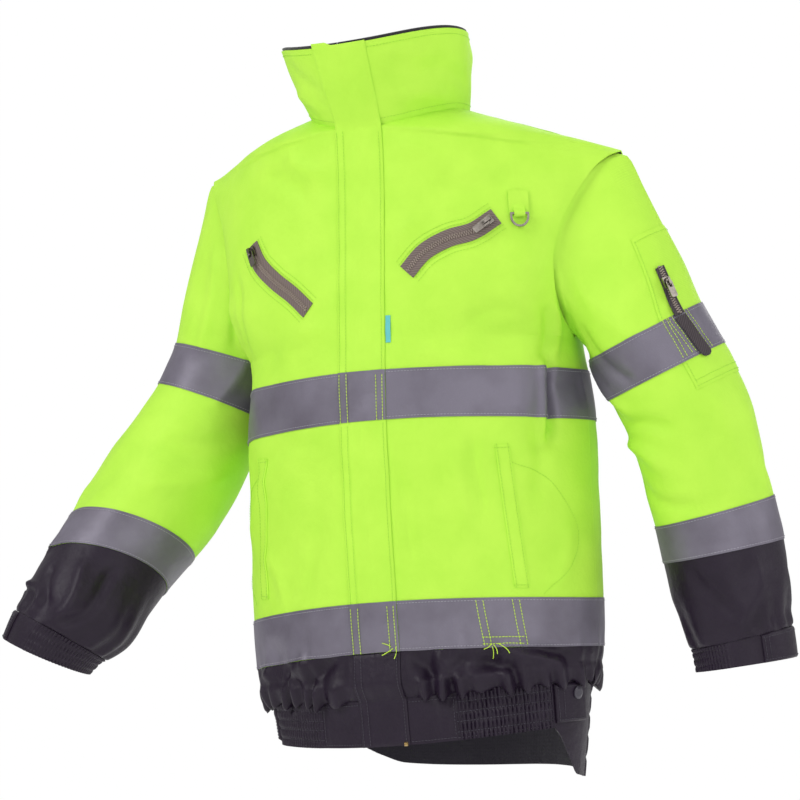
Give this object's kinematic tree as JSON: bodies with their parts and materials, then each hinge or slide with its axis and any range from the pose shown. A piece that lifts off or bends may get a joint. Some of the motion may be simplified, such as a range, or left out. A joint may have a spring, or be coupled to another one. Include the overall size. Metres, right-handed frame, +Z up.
{
  "type": "hi-vis work jacket",
  "caption": "Hi-vis bomber-style work jacket filled out as if worn, with a stand collar, zip front under a storm flap, reflective bands and elastic waistband.",
  "frame": {"origin": "middle of the neck base, at the height of the shoulders, where the wearer's neck holds the jacket", "axes": "+Z up, the jacket's front faces -Y, +X towards the wearer's left"},
  "size_m": [0.807, 0.3036, 0.7541],
  "materials": {
    "neon_cloth": "coated plain-weave polyester, fluorescent yellow-green, matt with a slight sheen",
    "navy_cloth": "coated plain-weave polyester, dark navy, matt",
    "lining": "brushed dark lining",
    "reflective_tape": "grey-violet glass-bead reflective tape, satin",
    "zip_tape": "woven zip tape, grey-brown, with a moulded coil",
    "snap": "dark lacquered cap",
    "metal": "satin nickel",
    "woven_label": "small plain woven tab, turquoise, with no text"
  },
  "bodies": {
    "garment": {"front_left": "neon_cloth", "front_right": "neon_cloth", "back": "neon_cloth", "lower_front_left": "navy_cloth", "lower_front_right": "navy_cloth", "lower_back": "navy_cloth", "tape_chest_front_left": "reflective_tape", "tape_chest_front_right": "reflective_tape", "tape_chest_back": "reflective_tape", "tape_hem_front_left": "reflective_tape", "tape_hem_front_right": "reflective_tape", "tape_hem_back": "reflective_tape", "waistband_front_left": "navy_cloth", "waistband_elastic_left": "navy_cloth", "waistband_side_left": "navy_cloth", "waistband_tab_left": "navy_cloth", "waistband_snap_left": "snap", "waistband_front_right": "navy_cloth", "waistband_elastic_right": "navy_cloth", "waistband_side_right": "navy_cloth", "waistband_tab_right": "navy_cloth", "waistband_snap_right": "snap", "waistband_back": "navy_cloth", "collar": "neon_cloth", "collar_lining": "lining", "front_zip": "zip_tape", "storm_flap_lower": "navy_cloth", "storm_flap": "neon_cloth", "tape_chest_flap": "reflective_tape", "tape_hem_flap": "reflective_tape", "sleeve_left": "neon_cloth", "sleeve_lower_left": "neon_cloth", "forearm_left": "navy_cloth", "tape_arm_upper_left": "reflective_tape", "tape_arm_lower_left": "reflective_tape", "cuff_left": "navy_cloth", "cuff_tab_left": "navy_cloth", "sleeve_right": "neon_cloth", "sleeve_lower_right": "neon_cloth", "forearm_right": "navy_cloth", "tape_arm_upper_right": "reflective_tape", "tape_arm_lower_right": "reflective_tape", "cuff_right": "navy_cloth", "cuff_tab_right": "navy_cloth", "sleeve_pocket": "neon_cloth", "sleeve_zip": "zip_tape", "sleeve_zip_garage": "zip_tape", "sleeve_slider": "metal", "chest_zip_left": "zip_tape", "chest_slider_left": "metal", "chest_zip_right": "zip_tape", "chest_slider_right": "metal", "hand_pocket_left": "neon_cloth", "hand_pocket_right": "neon_cloth", "side_label": "woven_label", "ring_tab": "neon_cloth"},
    "chest_pull_left_body": {"chest_pull_left": "metal"},
    "chest_pull_right_body": {"chest_pull_right": "metal"},
    "sleeve_pull_body": {"sleeve_pull": "metal"},
    "d_ring_body": {"d_ring": "metal"}
  },
  "joints": [
    {"name": "chest_pull_left_swing", "type": "hinge", "parent": "garment", "child": "chest_pull_left_body", "pos_m": [0.1322, -0.1055, -0.12231], "axis": [-0.5956, -0.1124, 0.7954], "range_deg": [0, 150]},
    {"name": "chest_pull_right_swing", "type": "hinge", "parent": "garment", "child": "chest_pull_right_body", "pos_m": [-0.13523, -0.10576, -0.13289], "axis": [-0.8373, 0.2877, -0.465], "range_deg": [0, 150]},
    {"name": "sleeve_pull_swing", "type": "hinge", "parent": "garment", "child": "sleeve_pull_body", "pos_m": [0.28923, -0.024, -0.18869], "axis": [-0.5228, -0.8225, -0.2241], "range_deg": [0, 150]},
    {"name": "d_ring_swing", "type": "hinge", "parent": "garment", "child": "d_ring_body", "pos_m": [0.1595, -0.08821, -0.11608], "axis": [-0.8541, -0.5201, 0], "range_deg": [0, 150]}
  ]
}
